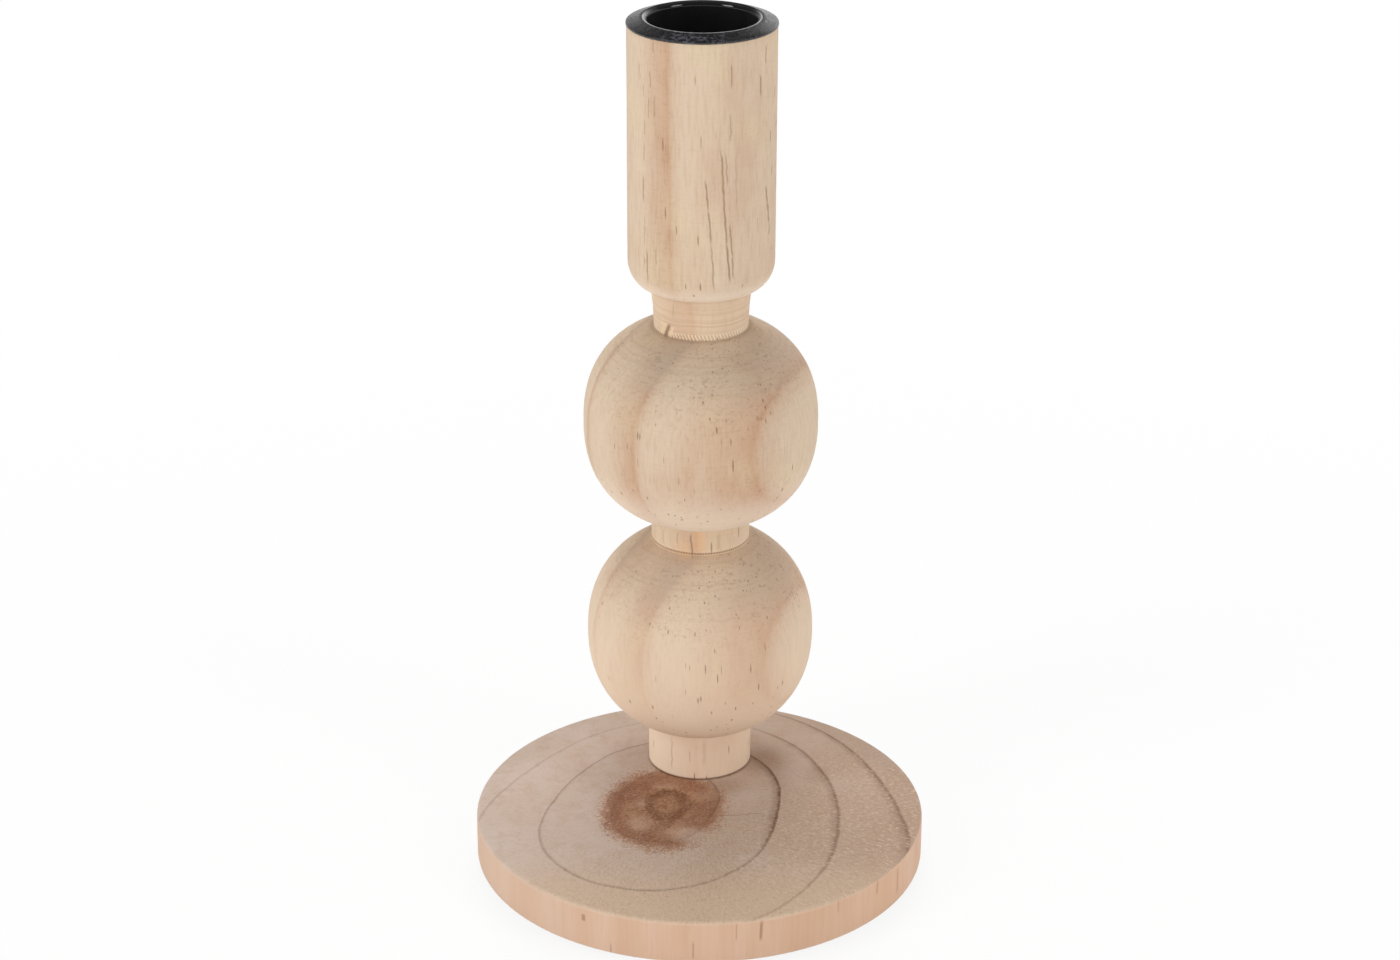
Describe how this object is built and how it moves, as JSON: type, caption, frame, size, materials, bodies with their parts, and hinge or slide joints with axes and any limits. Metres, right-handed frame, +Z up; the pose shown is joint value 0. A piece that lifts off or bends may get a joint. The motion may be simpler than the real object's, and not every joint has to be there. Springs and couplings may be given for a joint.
{
  "type": "candle holder",
  "caption": "Turned wooden candle holder: stacked balls under a straight barrel, set back on a round disc base, with a black metal cup in the top for a dinner candle.",
  "frame": {"origin": "centre of the round base, on the surface that its felt pads stand on", "axes": "+Z up along the stem; the stem stands behind the base's centre, towards +Y, so the front is -Y; +X to the right seen from the front"},
  "size_m": [0.0974, 0.0974, 0.1826],
  "materials": {
    "unfinished_pine": "bare turned pine, sanded, matt",
    "end_grain_pine": "bare sawn end grain, sanded, matt",
    "black_lacquer": "black lacquer, semi-gloss",
    "zinc_steel": "bright zinc plate",
    "grey_felt": "pressed felt"
  },
  "bodies": {
    "root": {"stem": "unfinished_pine", "base_disc": "end_grain_pine", "candle_cup": "black_lacquer", "base_screw": "zinc_steel", "felt_pad_front": "grey_felt", "felt_pad_back": "grey_felt", "felt_pad_left": "grey_felt", "felt_pad_right": "grey_felt"}
  },
  "joints": []
}
